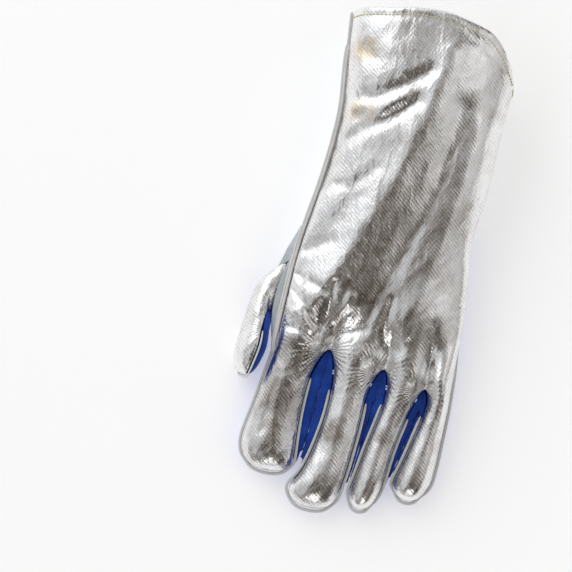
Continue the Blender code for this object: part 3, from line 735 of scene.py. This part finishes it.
# %% Lines for the thread
SHARP_EDGE = math.radians(40)
LOOKS_OUT = 0.4
LOWEST_THREAD = 0.45 * MM
THREAD_LIFT = 0.25 * MM
ROW_STEP = 2 * MM
HEM_INSET = 5.4 * MM
HEM_FROM = 115 * MM
HEM_FACES = 0.55
PATCH_INSETS = (3.0 * MM, 6.2 * MM)


def face_lean(face, axis):
    """1 where a face looks straight away from the middle of the glove, -1 where it looks into it."""
    middle = face.calc_center_median()
    return face.normal.dot((middle - axis(middle)).normalized())


def cut_edges(name, axis, keep):
    """The outer edges of a piece, each with the direction that leads inwards over its skin."""
    shape = welded(name)
    found = []
    for edge in shape.edges:
        if len(edge.link_faces) != 2 or edge.calc_face_angle(0) < SHARP_EDGE:
            continue
        skin, rim = sorted(edge.link_faces, key=lambda face: -face_lean(face, axis))
        middle = (edge.verts[0].co + edge.verts[1].co) / 2
        if face_lean(skin, axis) < LOOKS_OUT or not keep(middle, rim.normal):
            continue
        run = (edge.verts[1].co - edge.verts[0].co).normalized()
        inwards = skin.calc_center_median() - middle
        inwards = (inwards - run * inwards.dot(run)).normalized()
        found.append((edge.verts[0].co.copy(), edge.verts[1].co.copy(), inwards))
    shape.free()
    return found


def key_of(place):
    """A place as whole micrometres, so that corners at the same place are found again."""
    return tuple(round(c / WELD) for c in place)


def runs_of(edges):
    """Joins edges that share a corner into long lines of (place, inward direction)."""
    ends = {}
    for first, last, inwards in edges:
        for here, there in ((first, last), (last, first)):
            ends.setdefault(key_of(here), []).append((there, inwards))
    lines = []
    unused = set(ends)
    while unused:
        start = next((key for key in sorted(unused) if len(ends[key]) == 1), min(unused))
        line = []
        key = start
        while key in unused:
            unused.discard(key)
            nexts = ends[key]
            inwards = sum((direction for _, direction in nexts), Vector()).normalized()
            line.append((Vector(key) * WELD, inwards))
            key = next((key_of(place) for place, _ in nexts if key_of(place) in unused), None)
        if len(line) > 3:
            lines.append(line)
    return lines


def laid_row(line, inset, piece):
    """A line moved inwards and set down on a soft piece, smoothed and with a point every two millimetres."""
    tree = BVHTree.FromObject(piece, bpy.context.evaluated_depsgraph_get())
    spots = eased([place + inwards * inset for place, inwards in line], 2)
    fine = []
    for first, last in zip(spots, spots[1:]):
        steps = max(1, round((last - first).length / ROW_STEP))
        fine += [first.lerp(last, step / steps) for step in range(steps)]
    row = []
    for spot in fine + spots[-1:]:
        near, normal, _, _ = tree.find_nearest(spot)
        laid = near + normal * THREAD_LIFT
        row.append(Vector((laid.x, laid.y, max(laid.z, LOWEST_THREAD))))
    return row


def round_cuff(spot):
    """The middle line of the cuff, which the hem goes round."""
    return Vector((12 * MM, spot.y, 34 * MM))


def over_palm(spot):
    """A line above the palm, from which the patch is seen from inside."""
    return Vector((8 * MM, spot.y, 40 * MM))


def at_hem(spot, rim_normal):
    """Whether an edge belongs to the hem of the cuff."""
    return spot.y > HEM_FROM and rim_normal.y > HEM_FACES


def anywhere(spot, rim_normal):
    """The patch is stitched all round."""
    return True


rows = []
for name in ("back_panel", "palm_cuff"):
    for line in runs_of(cut_edges(name, round_cuff, at_hem)):
        rows.append(laid_row(line, HEM_INSET, soft[name]))
for line in runs_of(cut_edges("palm_reinforcement", over_palm, anywhere)):
    rows += [laid_row(line, inset, soft["palm_reinforcement"]) for inset in PATCH_INSETS]
print("rows of thread:", len(rows), [len(row) for row in rows])


# %% [markdown]
# The tree turns the lines into curves and puts a point at every pitch. On each point it sets one small bead,
# drawn out along the line. Realize Instances makes the beads a plain mesh, because an export drops
# instances.


# %% The stitch tree
def thread_tree():
    """Geometry Nodes that lay stitches along the edges of a mesh, and where their sizes are set."""
    tree = bpy.data.node_groups.new("stitches", "GeometryNodeTree")
    face = tree.interface
    face.new_socket("Geometry", in_out="INPUT", socket_type="NodeSocketGeometry")
    sizes = {}
    for title, value in (("Pitch", 2.9 * MM), ("Length", 2.5 * MM), ("Thickness", 0.55 * MM)):
        socket = face.new_socket(title, in_out="INPUT", socket_type="NodeSocketFloat")
        socket.default_value = value
        sizes[title] = socket.identifier
    face.new_socket("Geometry", in_out="OUTPUT", socket_type="NodeSocketGeometry")

    def add(kind, **settings):
        made = tree.nodes.new(kind)
        for key, value in settings.items():
            setattr(made, key, value)
        return made

    def join(source, target):
        tree.links.new(source, target)

    given = add("NodeGroupInput")
    result = add("NodeGroupOutput")
    to_curve = add("GeometryNodeMeshToCurve")
    resample = add("GeometryNodeResampleCurve", mode="LENGTH")
    tangent = add("GeometryNodeInputTangent")
    aim = add("FunctionNodeAlignRotationToVector", axis="X")
    bead = add("GeometryNodeMeshUVSphere")
    bead.inputs["Segments"].default_value = 6
    bead.inputs["Rings"].default_value = 4
    bead.inputs["Radius"].default_value = 0.5
    size = add("ShaderNodeCombineXYZ")
    shape = add("GeometryNodeTransform")
    place = add("GeometryNodeInstanceOnPoints")
    real = add("GeometryNodeRealizeInstances")
    finish = add("GeometryNodeSetMaterial")
    finish.inputs["Material"].default_value = thread.material
    join(given.outputs["Geometry"], to_curve.inputs["Mesh"])
    join(to_curve.outputs["Curve"], resample.inputs["Curve"])
    join(given.outputs["Pitch"], resample.inputs["Length"])
    join(tangent.outputs["Tangent"], aim.inputs["Vector"])
    join(given.outputs["Length"], size.inputs["X"])
    join(given.outputs["Thickness"], size.inputs["Y"])
    join(given.outputs["Thickness"], size.inputs["Z"])
    join(bead.outputs["Mesh"], shape.inputs["Geometry"])
    join(size.outputs["Vector"], shape.inputs["Scale"])
    join(resample.outputs["Curve"], place.inputs["Points"])
    join(shape.outputs["Geometry"], place.inputs["Instance"])
    join(aim.outputs["Rotation"], place.inputs["Rotation"])
    join(place.outputs["Instances"], real.inputs["Geometry"])
    join(real.outputs["Geometry"], finish.inputs["Geometry"])
    join(finish.outputs["Geometry"], result.inputs["Geometry"])
    return tree, sizes


# %% [markdown]
# All rows go into one mesh of points and edges, so one modifier sews them all. Its sizes are set by the
# sockets' identifiers, and the result replaces the lines before the piece joins the glove.


# %% Sewing
def sewn(title, lines, slot, **sizes):
    """One mesh of stitches along several lines."""
    spots = [spot for line in lines for spot in line]
    links = []
    start = 0
    for line in lines:
        links += [(start + n, start + n + 1) for n in range(len(line) - 1)]
        start += len(line)
    mesh = bpy.data.meshes.new(title)
    mesh.from_pydata(spots, links, [])
    piece = bpy.data.objects.new(title, mesh)
    bpy.context.scene.collection.objects.link(piece)
    tree, identifiers = thread_tree()
    sewing = piece.modifiers.new("sewing", "NODES")
    sewing.node_group = tree
    for size, value in sizes.items():
        sewing[identifiers[size]] = value
    made = bpy.data.meshes.new_from_object(piece.evaluated_get(bpy.context.evaluated_depsgraph_get()))
    piece.modifiers.clear()
    piece.data = made
    for face in made.polygons:
        face.use_smooth = True
    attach(piece, "root")
    print(title, "faces:", len(made.polygons))


sewn("seam_stitches", rows, "welt_leather", Thickness=1.05 * MM)
